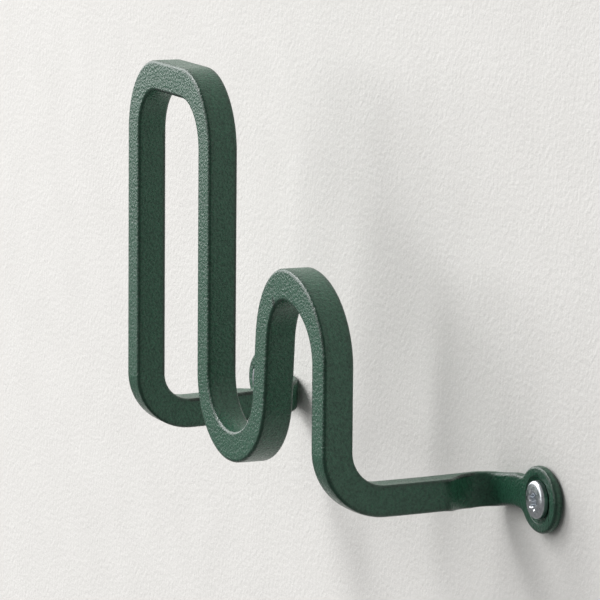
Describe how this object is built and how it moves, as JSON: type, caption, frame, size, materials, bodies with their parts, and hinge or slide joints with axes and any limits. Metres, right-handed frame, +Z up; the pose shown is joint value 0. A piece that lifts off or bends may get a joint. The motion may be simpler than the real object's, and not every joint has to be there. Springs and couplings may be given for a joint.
{
  "type": "wall hook",
  "caption": "Wall hook bent from one square bar, with a tall loop, a low loop and two arms that end in screwed eyes.",
  "frame": {"origin": "on the wall plane, midway between the two screw axes", "axes": "+X along the wall from the tall loop to the low loop, +Y into the wall, +Z up"},
  "size_m": [0.1962, 0.0902, 0.1032],
  "materials": {
    "green_powder_coat": "satin fine-textured powder coat",
    "zinc_steel": "bright zinc plate",
    "grey_nylon": "moulded nylon"
  },
  "bodies": {
    "root": {"hook_bar": "green_powder_coat", "screw_left": "zinc_steel", "screw_right": "zinc_steel", "wall_plug_left": "grey_nylon", "wall_plug_right": "grey_nylon"}
  },
  "joints": []
}
